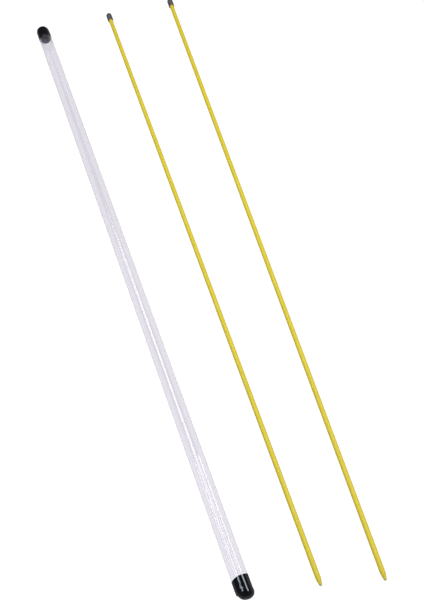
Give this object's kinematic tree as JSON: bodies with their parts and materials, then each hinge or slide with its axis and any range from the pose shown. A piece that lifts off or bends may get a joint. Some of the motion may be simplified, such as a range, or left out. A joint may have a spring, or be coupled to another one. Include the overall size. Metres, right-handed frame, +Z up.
{
  "type": "golf alignment stick set",
  "caption": "Pointed fibreglass golf alignment sticks with soft end caps, beside the clear capped tube that stores them.",
  "frame": {"origin": "centre of the footprint of the whole set, on the surface it lies on", "axes": "+Y along the storage tube from its bottom cap to its top cap, +X from the tube towards the sticks, +Z up"},
  "size_m": [0.2908, 1.2726, 0.0263],
  "materials": {
    "clear_plastic": "clear extruded plastic, faintly lavender, glossy",
    "black_vinyl": "glossy dip-moulded black vinyl, slightly wavy",
    "yellow_fibreglass": "satin yellow pultruded fibreglass with fine lengthwise fibres",
    "grey_vinyl": "dark grey dip-moulded vinyl, semi-matt"
  },
  "bodies": {
    "tube": {"tube": "clear_plastic"},
    "tube_top_cap": {"tube_top_cap": "black_vinyl"},
    "tube_bottom_cap": {"tube_bottom_cap": "black_vinyl"},
    "left_stick": {"left_stick": "yellow_fibreglass"},
    "left_stick_cap": {"left_stick_cap": "grey_vinyl"},
    "right_stick": {"right_stick": "yellow_fibreglass"},
    "right_stick_cap": {"right_stick_cap": "grey_vinyl"}
  },
  "joints": [
    {"name": "tube_top_cap_pull", "type": "slide", "parent": "tube", "child": "tube_top_cap", "axis": [0, 1, 0], "range_m": [0, 0.06]},
    {"name": "tube_bottom_cap_pull", "type": "slide", "parent": "tube", "child": "tube_bottom_cap", "axis": [0, -1, 0], "range_m": [0, 0.06]},
    {"name": "left_stick_lift", "type": "slide", "parent": "tube", "child": "left_stick", "axis": [0, 0, 1], "range_m": [0, 0.1]},
    {"name": "right_stick_lift", "type": "slide", "parent": "tube", "child": "right_stick", "axis": [0, 0, 1], "range_m": [0, 0.1]},
    {"name": "left_stick_cap_pull", "type": "slide", "parent": "left_stick", "child": "left_stick_cap", "axis": [0.0332, 0.9994, 0.0014], "range_m": [0, 0.04]},
    {"name": "right_stick_cap_pull", "type": "slide", "parent": "right_stick", "child": "right_stick_cap", "axis": [0.0698, 0.9976, 0.0014], "range_m": [0, 0.04]}
  ]
}
